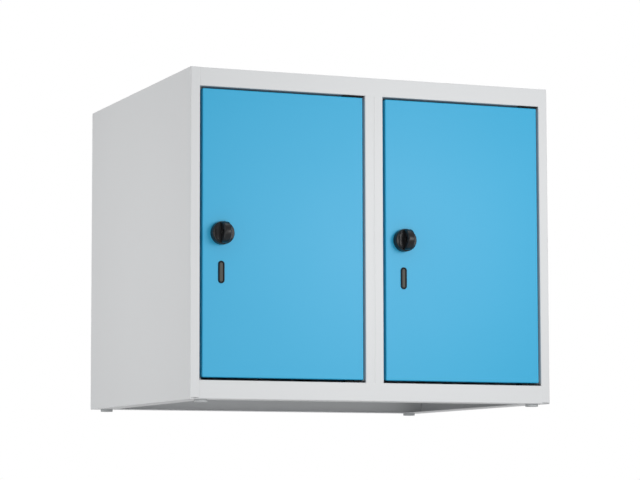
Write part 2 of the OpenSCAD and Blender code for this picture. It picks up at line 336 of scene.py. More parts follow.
@dataclass(frozen=True)
class Moulded(Finish):
    """Moulded plastic: a little grain, and roughness that varies with handling."""

    grain_per_metre: float = 1500.0
    grain_depth: float = 0.01 * MM
    patches_per_metre: float = 90.0
    shade: float = 0.8
    worn: float = 0.12
    specular: float = 0.5

    def surface(self, graph: Graph, place: bpy.types.NodeSocket) -> dict[str, Any]:
        """Grained colour, patchy roughness and the grain's relief.

        Args:
            graph: The material's nodes.
            place: The piece's own coordinates.

        Returns:
            The sockets' values and links, by name.
        """
        grain = graph.noise(place, self.grain_per_metre, 2.0)
        patches = graph.noise(place, self.patches_per_metre, 3.0)
        cover = (grain + patches) * 0.5
        return {
            "Base Color": graph.mix(cover, rgba(self.colour), rgba(darker(self.colour, self.shade))),
            "Roughness": (patches - MIDDLE) * self.worn + self.roughness,
            "Specular IOR Level": self.specular,
            "Normal": self.bump(graph, grain, self.grain_depth),
        }


@dataclass(frozen=True)
class TreatedSteel(Finish):
    """Plated or blackened steel: cloudy metal with fine drawn scratches."""

    clouds_per_metre: float = 120.0
    shade: float = 0.78
    uneven: float = 0.2
    scratches_per_metre: float = 2600.0
    scratch_stretch: Point3 = (1.0, 1.0, 0.06)
    scratched: float = 0.1
    scratch_depth: float = 0.006 * MM

    def surface(self, graph: Graph, place: bpy.types.NodeSocket) -> dict[str, Any]:
        """Clouded metal, uneven gloss and scratches along one direction.

        Args:
            graph: The material's nodes.
            place: The piece's own coordinates.

        Returns:
            The sockets' values and links, by name.
        """
        clouds = graph.noise(place, self.clouds_per_metre, 4.0)
        stretch = graph.node("ShaderNodeMapping", None, {"Vector": place, "Scale": self.scratch_stretch})
        scratches = graph.noise(stretch.outputs[0], self.scratches_per_metre, 3.0)
        gloss = (clouds - MIDDLE) * self.uneven + (scratches - MIDDLE) * self.scratched
        return {
            "Base Color": graph.mix(clouds, rgba(self.colour), rgba(darker(self.colour, self.shade))),
            "Metallic": 1.0,
            "Roughness": gloss + self.roughness,
            "Normal": self.bump(graph, scratches, self.scratch_depth),
        }


BODY_COAT = PowderCoat("body_powder_coat", (0.70, 0.712, 0.722), 0.42)
DOOR_COAT = PowderCoat("door_powder_coat", (0.024, 0.402, 0.683), 0.42)
LOCK_BLACK = Moulded("lock_black", (0.005, 0.005, 0.006), 0.32, specular=0.26)
GUARD_BLACK = Moulded("guard_black", (0.005, 0.006, 0.009), 0.55, specular=0.14)
GUARD_GREY = Moulded("guard_grey", (0.085, 0.087, 0.076), 0.6, specular=0.3)
BEARING_BLACK = Moulded("bearing_black", (0.006, 0.006, 0.007), 0.7, specular=0.15)
GLIDE_GREY = Moulded("glide_grey", (0.60, 0.62, 0.63), 0.5)
RUBBER = Moulded("buffer_rubber_black", (0.03, 0.03, 0.032), 0.75, grain_per_metre=2500.0)
ZINC = TreatedSteel("zinc_plate", (0.56, 0.57, 0.58), 0.46)
BLACK_STEEL = TreatedSteel("blackened_steel", (0.035, 0.036, 0.038), 0.5)


@dataclass
class Paintbox:
    """Makes each finish's material once, and hands it out."""

    made: dict[str, bpy.types.Material] = field(default_factory=dict)

    def get(self, finish: Finish) -> bpy.types.Material:
        """The material of that finish."""
        if finish.name not in self.made:
            self.made[finish.name] = finish.material()
        return self.made[finish.name]

    def dress_node(self, node: bpy.types.Object, finish: Finish) -> None:
        """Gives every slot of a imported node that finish."""
        for slot in node.material_slots:
            slot.material = self.get(finish)


# ---------------------------------------------------------------- meshes


def object_from(name: str, mesh: bmesh.types.BMesh) -> bpy.types.Object:
    """Ends a mesh under construction and makes it an object of the scene.

    Args:
        name: The piece's name.
        mesh: The mesh, which is freed.

    Returns:
        The object, with smooth faces and sharp edges above a set angle.
    """
    bmesh.ops.recalc_face_normals(mesh, faces=mesh.faces)
    data = bpy.data.meshes.new(name)
    mesh.to_mesh(data)
    mesh.free()
    made = bpy.data.objects.new(name, data)
    bpy.context.scene.collection.objects.link(made)
    shade(made)
    return made


def shade(piece: bpy.types.Object) -> None:
    """Shades a piece smooth, apart from its sharp edges."""
    piece.data.shade_smooth()
    piece.data.set_sharp_from_angle(angle=math.radians(SHARP_DEG))


def arc(centre: Point2, radius: float, start_deg: float, end_deg: float, steps: int) -> list[Point2]:
    """Points along an arc.

    Args:
        centre: The arc's centre.
        radius: Its radius.
        start_deg: Where it starts, in degrees from local X.
        end_deg: Where it ends.
        steps: How many chords it has.

    Returns:
        The points, both ends included.
    """
    turns = [math.radians(start_deg + (end_deg - start_deg) * i / steps) for i in range(steps + 1)]
    return [(centre[0] + radius * math.cos(a), centre[1] + radius * math.sin(a)) for a in turns]


def circle(radius: float, corners: int) -> list[Point2]:
    """Outline of a circle about the origin, as that many corners."""
    return arc((0, 0), radius, 0, 360, corners)[:-1]


def ring_of(mesh: bmesh.types.BMesh, points: Iterable[Vector]) -> Ring:
    """Adds a vertex for each point."""
    return [mesh.verts.new(point) for point in points]


def level_ring(mesh: bmesh.types.BMesh, outline: Iterable[Point2], height: float) -> Ring:
    """Adds an outline's corners at one height."""
    return ring_of(mesh, (Vector((x, y, height)) for x, y in outline))


def bridge(mesh: bmesh.types.BMesh, first: Ring, second: Ring) -> None:
    """Joins two closed rings of as many vertices with a band of faces."""
    for i, start in enumerate(first):
        j = (i + 1) % len(first)
        mesh.faces.new((start, first[j], second[j], second[i]))


def lathe(name: str, profile: list[Point2], steps: int = 96) -> bpy.types.Object:
    """Turns a profile about local Z.

    Args:
        name: The piece's name.
        profile: (radius, height) points from one end on the axis to the other.
        steps: How many faces go round.

    Returns:
        The closed piece.
    """
    mesh = bmesh.new()
    turns = [2 * math.pi * i / steps for i in range(steps)]
    rings = [
        ring_of(mesh, (Vector((r * math.cos(a), r * math.sin(a), z)) for a in turns))
        for r, z in profile[1:-1]
    ]
    for first, second in zip(rings, rings[1:]):
        bridge(mesh, first, second)
    for ring, (_, height) in ((rings[0], profile[0]), (rings[-1], profile[-1])):
        tip = mesh.verts.new((0, 0, height))
        for i in range(steps):
            mesh.faces.new((ring[i], ring[(i + 1) % steps], tip))
    return object_from(name, mesh)


def prism(
    name: str, outline: list[Point2], low: float, high: float, rounding: float = 0.0
) -> bpy.types.Object:
    """Raises an outline along local Z.

    Args:
        name: The piece's name.
        outline: Its corners in order, in local X and Y.
        low: Height of its lower face.
        high: Height of its upper face.
        rounding: Radius of the edge round its upper face.

    Returns:
        The closed piece.
    """
    mesh = bmesh.new()
    lower = level_ring(mesh, outline, low)
    upper = level_ring(mesh, outline, high)
    bridge(mesh, lower, upper)
    mesh.faces.new(lower)
    top = mesh.faces.new(upper)
    if rounding:
        round_edges(mesh, list(top.edges), rounding, 4)
    return object_from(name, mesh)


def round_edges(mesh: bmesh.types.BMesh, edges: list[bmesh.types.BMEdge], radius: float, steps: int) -> None:
    """Rounds those edges of a mesh under construction.

    Args:
        mesh: The mesh.
        edges: Its edges to round.
        radius: How far the rounding reaches from an edge.
        steps: How many faces the rounding has across.
    """
    bmesh.ops.bevel(
        mesh,
        geom=edges,
        offset=radius,
        offset_type="OFFSET",
        segments=steps,
        profile=0.5,
        affect="EDGES",
        clamp_overlap=True,
    )


def rounded_square(side: float, radius: float, steps: int = 6) -> list[Point2]:
    """Outline of a square with round corners, about the origin.

    Args:
        side: The square's side.
        radius: The corners' radius.
        steps: How many chords each corner has.

    Returns:
        The outline's corners in order.
    """
    inner = side / 2 - radius
    corners = ((inner, inner), (-inner, inner), (-inner, -inner), (inner, -inner))
    outline = []
    for quarter, corner in enumerate(corners):
        outline += arc(corner, radius, 90 * quarter, 90 * quarter + 90, steps)
    return outline


def oblong(width: float, height: float, steps: int = 20) -> list[Point2]:
    """Outline of an upright oblong with round ends, about the origin.

    Args:
        width: The oblong's width.
        height: Its height, round ends included.
        steps: How many chords each end has.

    Returns:
        The outline's corners in order.
    """
    radius = width / 2
    rise = (height - width) / 2
    return arc((0, rise), radius, 0, 180, steps) + arc((0, -rise), radius, 180, 360, steps)


def combine(target: bpy.types.Object, tool: bpy.types.Object, join: Join) -> None:
    """Joins a tool mesh to a target, or cuts it away, and removes the tool.

    Args:
        target: The piece that is changed.
        tool: The mesh that is joined or cut away.
        join: Which of the two is done.
    """
    modifier = target.modifiers.new("combine", "BOOLEAN")
    modifier.operation = join.value
    modifier.solver = "EXACT"
    modifier.object = tool
    bpy.context.view_layer.update()
    evaluated = target.evaluated_get(bpy.context.evaluated_depsgraph_get())
    joined = bpy.data.meshes.new_from_object(evaluated)
    target.modifiers.clear()
    joined.name = target.name
    target.data = joined
    shade(target)
    bpy.data.objects.remove(tool)


@dataclass
class EdgeEasing:
    """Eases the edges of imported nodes, as deburring and moulding leave them."""

    group: bpy.types.NodeTree | None = None

    def apply(self, node: bpy.types.Object, width: float) -> None:
        """Adds the modifiers to a node.

        Args:
            node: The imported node.
            width: How far the easing reaches from an edge, in metres.
        """
        if self.group is None:
            self.group = self._welded_surface()
        weld = node.modifiers.new("welded_surface", "NODES")
        weld.node_group = self.group
        ease = node.modifiers.new("eased_edges", "BEVEL")
        ease.width = width
        ease.segments = 2
        ease.limit_method = "ANGLE"
        ease.angle_limit = math.radians(SHARP_DEG)
        ease.harden_normals = True
        ease.use_clamp_overlap = False

    @staticmethod
    def _welded_surface() -> bpy.types.NodeTree:
        """Geometry nodes that close the seams between a node's faces.

        Returns:
            The group of nodes.
        """
        group = bpy.data.node_groups.new("welded_surface", "GeometryNodeTree")
        graph = Graph(group)
        for direction in ("INPUT", "OUTPUT"):
            group.interface.new_socket("Geometry", in_out=direction, socket_type="NodeSocketGeometry")
        source = graph.node("NodeGroupInput").outputs[0]
        merged = graph.node(
            "GeometryNodeMergeByDistance", None, {"Geometry": source, "Distance": SEAM_GAP}
        )
        angle = graph.node("GeometryNodeInputMeshEdgeAngle").outputs[0]
        sharp = graph.node(
            "FunctionNodeCompare",
            {"data_type": "FLOAT", "operation": "GREATER_THAN"},
            {0: angle, 1: math.radians(SHARP_DEG)},
        )
        normal = graph.node(
            "GeometryNodeSetMeshNormal",
            {"mode": "SHARPNESS"},
            {"Mesh": merged.outputs[0], "Edge Sharpness": sharp.outputs[0]},
        )
        graph.node("NodeGroupOutput", None, {0: normal.outputs[0]})
        return group


# ---------------------------------------------------------------- the object


@dataclass
class Workshop:
    """What the sub-assemblies share: the frame's nodes, the finishes and the easing."""

    nodes: dict[str, bpy.types.Object]
    paint: Paintbox = field(default_factory=Paintbox)
    easing: EdgeEasing = field(default_factory=EdgeEasing)

    def finish_node(self, name: str, finish: Finish, easing: float = 0.0) -> None:
        """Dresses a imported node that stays, and eases its edges if a width is given.

        Args:
            name: The node's name.
            finish: Its finish.
            easing: How far the easing reaches from an edge, in metres.
        """
        if easing:
            self.easing.apply(self.nodes[name], easing)
        self.paint.dress_node(self.nodes[name], finish)
        log.info("%s keeps its solid, in %s", name, finish.name)

    def fit(
        self, piece: bpy.types.Object, body: str, node: str, finish: Finish, slot: Slot
    ) -> None:
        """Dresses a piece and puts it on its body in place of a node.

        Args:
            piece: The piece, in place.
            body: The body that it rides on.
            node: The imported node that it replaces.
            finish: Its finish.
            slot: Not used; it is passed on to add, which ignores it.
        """
        self.add(piece, body, finish, slot)
        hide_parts(node)

    def add(self, piece: bpy.types.Object, body: str, finish: Finish, slot: Slot) -> None:
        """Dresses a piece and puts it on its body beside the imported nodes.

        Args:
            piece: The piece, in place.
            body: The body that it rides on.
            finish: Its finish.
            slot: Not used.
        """
        piece.data.materials.clear()
        piece.data.materials.append(self.paint.get(finish))
        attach(piece, body)
        log.info("%s rides on %s", piece.name, body)


@dataclass
class Glide:
    """One low plastic glide with a dished sole, pressed into a foot flange."""

    corner: str
    radius: float = 10.0 * MM
    height: float = 4.0 * MM
    sole_rounding: float = 0.8 * MM
    dish_r: float = 6.0 * MM
    dish_depth: float = 0.15 * MM
    groove_z: float = 2.9 * MM
    groove: float = 0.25 * MM
    stem_r: float = 3.0 * MM
    stem_h: float = 5.0 * MM
    stem_chamfer: float = 0.6 * MM

    def profile(self) -> list[Point2]:
        """The glide's outline, from the middle of its sole to the tip of its stem.

        Returns:
            Its (radius, height) points.
        """
        rim = arc((self.radius - self.sole_rounding, self.sole_rounding), self.sole_rounding, -90, 0, 6)
        groove = [
            (self.radius, self.groove_z - self.groove),
            (self.radius - self.groove, self.groove_z),
            (self.radius, self.groove_z + self.groove),
        ]
        tip = self.height + self.stem_h
        return [
            (0, self.dish_depth),
            (self.dish_r - self.dish_depth, self.dish_depth),
            (self.dish_r, 0),
            *rim,
            *groove,
            (self.radius, self.height),
            (self.stem_r, self.height),
            (self.stem_r, tip - self.stem_chamfer),
            (self.stem_r - self.stem_chamfer, tip),
            (0, tip),
        ]

    def build(self, shop: Workshop) -> None:
        """Turns the glide, and fits it in place of its node.

        Args:
            shop: The shared workshop.
        """
        node = f"foot_{self.corner}"
        low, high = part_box(node)
        piece = lathe(f"glide_{self.corner}", self.profile())
        centre = (low + high) / 2
        piece.data.transform(Matrix.Translation((centre.x, centre.y, low.z)))
        shop.fit(piece, "carcass", node, GLIDE_GREY, Slot.FOOT)


@dataclass(frozen=True)
class FilledSeam:
    """Weld in the groove beside a fold, ground back and painted over.

    It runs from start along a direction, reaches before and after that line, and its face
    lies recess behind the sheets' faces.
    """

    start: Vector
    along: Vector
    length: float
    before: float
    after: float
    recess: float
    dish: float = 0.05 * MM
    depth: float = 1.6 * MM
    steps: int = 4

    def build(self, name: str) -> bpy.types.Object:
        """Raises the seam's section along it.

        Args:
            name: The piece's name.

        Returns:
            The piece; its face is a little dished and lies behind the sheets' faces.
        """
        inward = Vector((0, 1, 0))
        across = inward.cross(self.along)
        width = self.before + self.after
        face = [
            (share * width - self.before, self.recess + self.dish * math.sin(share * math.pi))
            for share in (i / self.steps for i in range(self.steps + 1))
        ]
        section = [*face, (self.after, self.depth), (-self.before, self.depth)]
        piece = prism(name, section, 0.0, self.length)
        turn = Matrix((across, inward, self.along)).transposed().to_4x4()
        piece.data.transform(Matrix.Translation(self.start) @ turn)
        return piece


@dataclass
class FrontFrame:
    """Front faces of the body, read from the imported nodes, and the filled seams among them."""

    fold: float = 1.5 * MM
    lap: float = 0.06 * MM
    flush: float = 0.02 * MM
    post_recess: float = 0.22 * MM
    middle_recess: float = 0.3 * MM
    left: float = field(init=False)
    right: float = field(init=False)
    face: float = field(init=False)
    bottom: float = field(init=False)
    top: float = field(init=False)
    post_w: float = field(init=False)
    middle: float = field(init=False)
    sill: float = field(init=False)
    head: float = field(init=False)

    def __post_init__(self) -> None:
        """Reads the edges of the posts and rails."""
        low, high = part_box("partition_left")
        body_low, body_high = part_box("side_panel_left")
        self.left, self.right = body_low.x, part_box("side_panel_right")[1].x
        self.face, self.bottom, self.top = body_low.y, body_low.z, body_high.z
        self.post_w, self.middle, self.sill = high.x - low.x, high.x, low.z
        self.head = self.top - (self.sill - self.bottom)

    def build(self, shop: Workshop) -> None:
        """Makes the seams where the rails meet the posts, and down the middle post.

        Args:
            shop: The shared workshop.
        """
        upright, level = Vector((0, 0, 1)), Vector((1, 0, 0))
        rail_h, lap, fold = self.sill - self.bottom, self.lap, self.fold
        seams: dict[str, FilledSeam] = {}
        for end, z in (("top", self.head), ("bottom", self.bottom)):
            for post, x, before, after, recess in (
                ("left", self.left + self.post_w, fold, lap, self.post_recess),
                ("right", self.right - self.post_w, lap, fold, self.flush),
            ):
                start = Vector((x, self.face, z))
                seams[f"weld_{post}_post_{end}"] = FilledSeam(start, upright, rail_h, before, after, recess)
        inner = self.post_w - fold / 2
        for end, z, before, after in (("top", self.head, fold, lap), ("bottom", self.sill, lap, fold)):
            start = Vector((self.middle - inner, self.face, z))
            seams[f"weld_middle_post_{end}"] = FilledSeam(start, level, 2 * inner, before, after, self.flush)
        seams["seam_middle_post"] = FilledSeam(
            Vector((self.middle, self.face, self.sill)),
            upright,
            self.head - self.sill,
            fold,
            fold,
            self.middle_recess,
        )
        for name, seam in seams.items():
            shop.add(seam.build(name), "carcass", BODY_COAT, Slot.BODY)


@dataclass
class Carcass:
    """The welded sheet body with its bearings, buffers and glides."""

    shop: Workshop
    sheets: tuple[str, ...] = (
        "side_panel_left",
        "side_panel_right",
        "partition_left",
        "partition_right",
        "top_panel",
        "floor_panel",
        "back_panel",
    )
    corners: tuple[str, ...] = ("front_left", "front_right", "rear_left", "rear_right")
    rubber_easing: float = 0.3 * MM

    def build(self) -> None:
        """Makes the glides and the filled seams of the front."""
        for corner in self.corners:
            Glide(corner).build(self.shop)
        FrontFrame().build(self.shop)

    def dress(self) -> None:
        """Finishes the sheets, the bearings and the buffers."""
        for name in self.sheets:
            self.shop.finish_node(name, BODY_COAT)
        for side in Side:
            for end in ("top", "bottom"):
                self.shop.finish_node(f"{side.value}_bearing_{end}", BEARING_BLACK)
            self.shop.finish_node(f"{side.value}_buffers", RUBBER, self.rubber_easing)


@dataclass
class PaintGuard:
    """The upright oblong under a lock: a rounded black rim round a crowned grey pad."""

    side: Side
    rim_w: float = 2.4 * MM
    rim_out: float = 1.6 * MM
    rim_rounding: float = 0.7 * MM
    pad_edge_out: float = 0.65 * MM
    pad_out: float = 1.1 * MM
    pad_steps: int = 7

    def build(self, shop: Workshop) -> None:
        """Makes the rim and the pad, and fits them in place of their nodes.

        Args:
            shop: The shared workshop.
        """
        body = f"{self.side.value}_door"
        low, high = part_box(f"{self.side.value}_guard_rim")
        face = Vector(((low.x + high.x) / 2, high.y, (low.z + high.z) / 2))
        place = Matrix.Translation(face) @ OUTWARD
        width, height = high.x - low.x, high.z - low.z
        rim = self._rim(width, height)
        pad = self._pad(width - 2 * self.rim_w, height - 2 * self.rim_w)
        for piece, node, finish, slot in (
            (rim, "guard_rim", GUARD_BLACK, Slot.LOCK),
            (pad, "guard_pad", GUARD_GREY, Slot.GUARD),
        ):
            piece.data.transform(place)
            shop.fit(piece, body, f"{self.side.value}_{node}", finish, slot)

    def _rim(self, width: float, height: float) -> bpy.types.Object:
        """Carries the rim's round-topped section along the oblong.

        Args:
            width: The oblong's width outside.
            height: Its height outside.

        Returns:
            The rim, about the origin.
        """
        half, r = self.rim_w / 2, self.rim_rounding
        outer = arc((half - r, self.rim_out - r), r, 0, 90, 5)
        inner = arc((r - half, self.rim_out - r), r, 90, 180, 5)
        mesh = bmesh.new()
        rings = []
        for across, out in [(half, 0.0), *outer, *inner, (-half, 0.0)]:
            growth = 2 * (across - half)
            rings.append(level_ring(mesh, oblong(width + growth, height + growth), out))
        for first, second in zip(rings, rings[1:] + rings[:1]):
            bridge(mesh, first, second)
        return object_from(f"{self.side.value}_guard_surround", mesh)

    def _pad(self, width: float, height: float) -> bpy.types.Object:
        """Crowned pad that fills the rim.

        Args:
            width: The pad's width.
            height: Its height.

        Returns:
            The pad, about the origin.
        """
        mesh = bmesh.new()
        rings = [level_ring(mesh, oblong(width, height), 0.0)]
        for step in range(self.pad_steps):
            share = step / self.pad_steps
            inset = share * width
            crown = (self.pad_out - self.pad_edge_out) * math.sin(share * math.pi / 2)
            rings.append(level_ring(mesh, oblong(width - inset, height - inset), self.pad_edge_out + crown))
        for first, second in zip(rings, rings[1:]):
            bridge(mesh, first, second)
        mesh.faces.new(rings[0])
        mesh.faces.new(rings[-1])
        return object_from(f"{self.side.value}_guard_inlay", mesh)


@dataclass
class Escutcheon:
    """Fixed black rosette of a lock: a round cap, a square boss and a threaded neck."""

    side: Side
    cap_r: float = 17.5 * MM
    cap_foot_r: float = 17.1 * MM
    cap_foot_h: float = 0.6 * MM
    cap_out: float = 12.0 * MM
    cap_rounding: float = 2.0 * MM
    boss_w: float = 26.0 * MM
    boss_out: float = 14.5 * MM
    boss_corner_r: float = 6.0 * MM
    boss_rounding: float = 2.2 * MM
    neck_r: float = 9.0 * MM
    neck_l: float = 9.0 * MM
    thread_pitch: float = 1.0 * MM
    thread_depth: float = 0.45 * MM
    bore_r: float = 5.05 * MM

    def _neck(self) -> list[Point2]:
        """Profile of the threaded neck, from the axis behind to the cap's back.

        Returns:
            Its (radius, height) points.
        """
        root = self.neck_r - self.thread_depth
        profile = [(0.0, -self.neck_l), (root, -self.neck_l)]
        turns = int(self.neck_l / self.thread_pitch) - 1
        for turn in range(turns):
            z = -self.neck_l + (turn + 0.5) * self.thread_pitch
            profile += [(root, z), (self.neck_r, z + self.thread_pitch / 2)]
        return profile + [(root, -self.thread_pitch / 2), (root, 0.0)]

    def build(self, shop: Workshop, place: Matrix) -> None:
        """Makes the rosette and fits it in place of its node.

        Args:
            shop: The shared workshop.
            place: Puts local +Z out of the door, from its face.
        """
        name = self.side.value
        rounding = self.cap_rounding
        edge = arc((self.cap_r - rounding, self.cap_out - rounding), rounding, 0, 90, 8)
        foot = [(self.cap_foot_r, 0.0), (self.cap_foot_r, self.cap_foot_h), (self.cap_r, self.cap_foot_h)]
        piece = lathe(f"{name}_escutcheon", [*self._neck(), *foot, *edge, (0.0, self.cap_out)])
        boss = prism(
            "boss",
            rounded_square(self.boss_w, self.boss_corner_r),
            self.cap_out / 2,
            self.boss_out,
            self.boss_rounding,
        )
        combine(piece, boss, Join.UNION)
        reach = self.neck_l + self.boss_out
        bore = prism("bore", circle(self.bore_r, 64), -reach, reach)
        combine(piece, bore, Join.DIFFERENCE)
        piece.data.transform(place)
        shop.fit(piece, f"{name}_door", f"{name}_lock_rosette", LOCK_BLACK, Slot.LOCK)


@dataclass
class Knob:
    """Turning knob: a half-round wing with its shackle hole, a foot and the shaft."""

    side: Side
    wing_r: float = 16.0 * MM
    wing_out: float = 32.0 * MM
    wing_t: float = 11.0 * MM
    wing_base: float = 14.8 * MM
    wing_rounding: float = 2.0 * MM
    hole_r: float = 4.2 * MM
    hole_out: float = 21.0 * MM
    hole_chamfer: float = 0.6 * MM
    foot_r: float = 12.0 * MM
    foot_top: float = 16.0 * MM
    foot_rounding: float = 0.6 * MM
    shaft_r: float = 5.0 * MM
    shaft_end: float = 23.5 * MM
    square_w: float = 7.0 * MM
    square_end: float = 26.0 * MM
    bolt_r: float = 2.4 * MM
    bolt_bore: float = 12.0 * MM
    steps: int = 120

    def _reach(self, angle: float) -> float:
        """How far the wing's outline is from the hole's middle, in that direction.

        Args:
            angle: The direction, in radians from straight out of the door.

        Returns:
            The distance.
        """
        along, across = math.cos(angle), math.sin(angle)
        offset = self.hole_out - (self.wing_out - self.wing_r)
        arc_reach = -offset * along + math.sqrt(self.wing_r**2 - (offset * across) ** 2)
        if along >= 0:
            return arc_reach
        return min(arc_reach, (self.wing_base - self.hole_out) / along)

    def _angles(self) -> list[float]:
        """Directions from the hole's middle, with the two corners of the base among them.

        Returns:
            The angles, in radians, in order.
        """
        rise = self.wing_base - (self.wing_out - self.wing_r)
        half = math.sqrt(self.wing_r**2 - rise**2)
        corner = math.atan2(half, self.wing_base - self.hole_out)
        evenly = [2 * math.pi * i / self.steps for i in range(self.steps)]
        gap = math.pi / self.steps
        kept = [a for a in evenly if min(abs(a - corner), abs(a - 2 * math.pi + corner)) > gap]
        return sorted([*kept, corner, 2 * math.pi - corner])

    def _wing(self) -> bpy.types.Object:
        """Wing plate: both cheeks, its rounded rim and the chamfered hole.

        Returns:
            The wing.
        """
        mesh = bmesh.new()
        cheeks = (-1, 1)
        rings = {
            (cheek, at_hole): self._loop(mesh, cheek, at_hole)
            for cheek, at_hole in product(cheeks, (False, True))
        }
        for cheek in cheeks:
            bridge(mesh, rings[cheek, False], rings[cheek, True])
        for at_hole in (False, True):
            bridge(mesh, rings[-1, at_hole], rings[1, at_hole])
        for at_hole, radius, steps in ((False, self.wing_rounding, 5), (True, self.hole_chamfer, 2)):
            edges = []
            for ring in (rings[cheek, at_hole] for cheek in cheeks):
                edges += [mesh.edges.get(pair) for pair in zip(ring, ring[1:] + ring[:1])]
            round_edges(mesh, edges, radius, steps)
        return object_from(f"{self.side.value}_padlock_knob", mesh)

    def _loop(self, mesh: bmesh.types.BMesh, cheek: int, at_hole: bool) -> Ring:
        """Adds the outline of one cheek, or of the hole in it.

        Args:
            mesh: The mesh under construction.
            cheek: -1 or 1, for the cheek on that side of the wing.
            at_hole: Whether it is the hole's outline.

        Returns:
            The outline's vertices.
        """
        points = []
        for angle in self._angles():
            reach = self.hole_r if at_hole else self._reach(angle)
            out = self.hole_out + reach * math.cos(angle)
            points.append(Vector((cheek * self.wing_t / 2, reach * math.sin(angle), out)))
        return ring_of(mesh, points)

    def build(self, shop: Workshop, place: Matrix) -> None:
        """Makes the knob and fits it in place of its node.

        Args:
            shop: The shared workshop.
            place: Puts local +Z out of the door, from its face.
        """
        name = self.side.value
        piece = self._wing()
        rounding = self.foot_rounding
        edge = arc((self.foot_r - rounding, self.foot_top - rounding), rounding, 0, 90, 4)
        turned = lathe(
            "foot_and_shaft",
            [
                (0.0, -self.shaft_end),
                (self.shaft_r, -self.shaft_end),
                (self.shaft_r, self.wing_base),
                (self.foot_r, self.wing_base),
                *edge,
                (0.0, self.foot_top),
            ],
        )
        half = self.square_w / 2
        corners = [(half, half), (-half, half), (-half, -half), (half, -half)]
        square = prism("square", corners, -self.square_end, -self.shaft_end + half)
        bore_end = -self.square_end + self.bolt_bore
        bore = prism("bolt_bore", circle(self.bolt_r, 32), -2 * self.square_end, bore_end)
        combine(turned, square, Join.UNION)
        combine(turned, bore, Join.DIFFERENCE)
        combine(piece, turned, Join.UNION)
        piece.data.transform(place)
        shop.fit(piece, f"{name}_latch", f"{name}_lock_knob", LOCK_BLACK, Slot.LOCK)


@dataclass
class CamBolt:
    """Button-head bolt that holds the cam, with a hexagon socket."""

    side: Side
    head_r: float = 4.5 * MM
    head_t: float = 2.6 * MM
    head_flat_r: float = 2.9 * MM
    shank_r: float = 2.4 * MM
    shank_l: float = 11.5 * MM
    socket_r: float = 1.75 * MM
    socket_depth: float = 1.7 * MM

    def build(self, shop: Workshop, place: Matrix) -> None:
        """Turns the bolt, cuts its socket and fits it in place of its node.

        Args:
            shop: The shared workshop.
            place: Puts local +Z into the door, from the cam's rear face.
        """
        name = self.side.value
        edge_t = self.head_t / 3
        dome = [
            (self.head_flat_r + (self.head_r - self.head_flat_r) * x, edge_t + (self.head_t - edge_t) * y)
            for x, y in arc((0, 0), 1.0, 0, 90, 6)
        ]
        shank = [(0.0, -self.shank_l), (self.shank_r, -self.shank_l), (self.shank_r, 0.0)]
        profile = [*shank, (self.head_r, 0.0), *dome, (0.0, self.head_t)]
        piece = lathe(f"{name}_cam_bolt", profile, 64)
        bottom, clear = self.head_t - self.socket_depth, self.head_t + self.socket_depth
        socket = prism("socket", circle(self.socket_r, 6), bottom, clear)
        combine(piece, socket, Join.DIFFERENCE)
        piece.data.transform(place)
        shop.fit(piece, f"{name}_latch", f"{name}_cam_screw", ZINC, Slot.ZINC)


@dataclass
class CornerWelds:
    """Welds that close a door tray's four corners, ground round like its folds."""

    side: Side
    size: float = 2.06 * MM
    fold: float = 1.5 * MM
    lap: float = 0.01 * MM
    depth: float = 19.0 * MM
    steps: int = 5

    def build(self, shop: Workshop) -> None:
        """Makes the four welds as one piece on the door.

        Args:
            shop: The shared workshop.
        """
        low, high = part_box(f"{self.side.value}_door_skin")
        mesh = bmesh.new()
        for (x, into_x), (z, into_z) in product(((low.x, 1), (high.x, -1)), ((low.z, 1), (high.z, -1))):
            self._corner(mesh, Vector((x, low.y + self.lap, z)), into_x, into_z)
        piece = object_from(f"{self.side.value}_corner_welds", mesh)
        shop.add(piece, f"{self.side.value}_door", DOOR_COAT, Slot.DOOR)

    def _corner(self, mesh: bmesh.types.BMesh, tip: Vector, into_x: int, into_z: int) -> None:
        """Adds one weld, rounded along its three outer edges.

        Args:
            mesh: The mesh under construction.
            tip: The corner of the door.
            into_x: 1 or -1, towards the door's middle along X.
            into_z: The same along Z.
        """
        reach = Vector((into_x * self.size, self.depth, into_z * self.size))
        made = {end: mesh.verts.new(tip + Vector(end) * reach) for end in product((0, 1), repeat=3)}
        for face in (
            ((0, 0, 0), (0, 0, 1), (0, 1, 1), (0, 1, 0)),
            ((1, 0, 0), (1, 0, 1), (1, 1, 1), (1, 1, 0)),
            ((0, 0, 0), (1, 0, 0), (1, 0, 1), (0, 0, 1)),
            ((0, 1, 0), (1, 1, 0), (1, 1, 1), (0, 1, 1)),
            ((0, 0, 0), (1, 0, 0), (1, 1, 0), (0, 1, 0)),
            ((0, 0, 1), (1, 0, 1), (1, 1, 1), (0, 1, 1)),
        ):
            mesh.faces.new([made[corner] for corner in face])
        edges = [mesh.edges.get((made[0, 0, 0], made[end])) for end in ((1, 0, 0), (0, 1, 0), (0, 0, 1))]
        round_edges(mesh, edges, self.fold, self.steps)


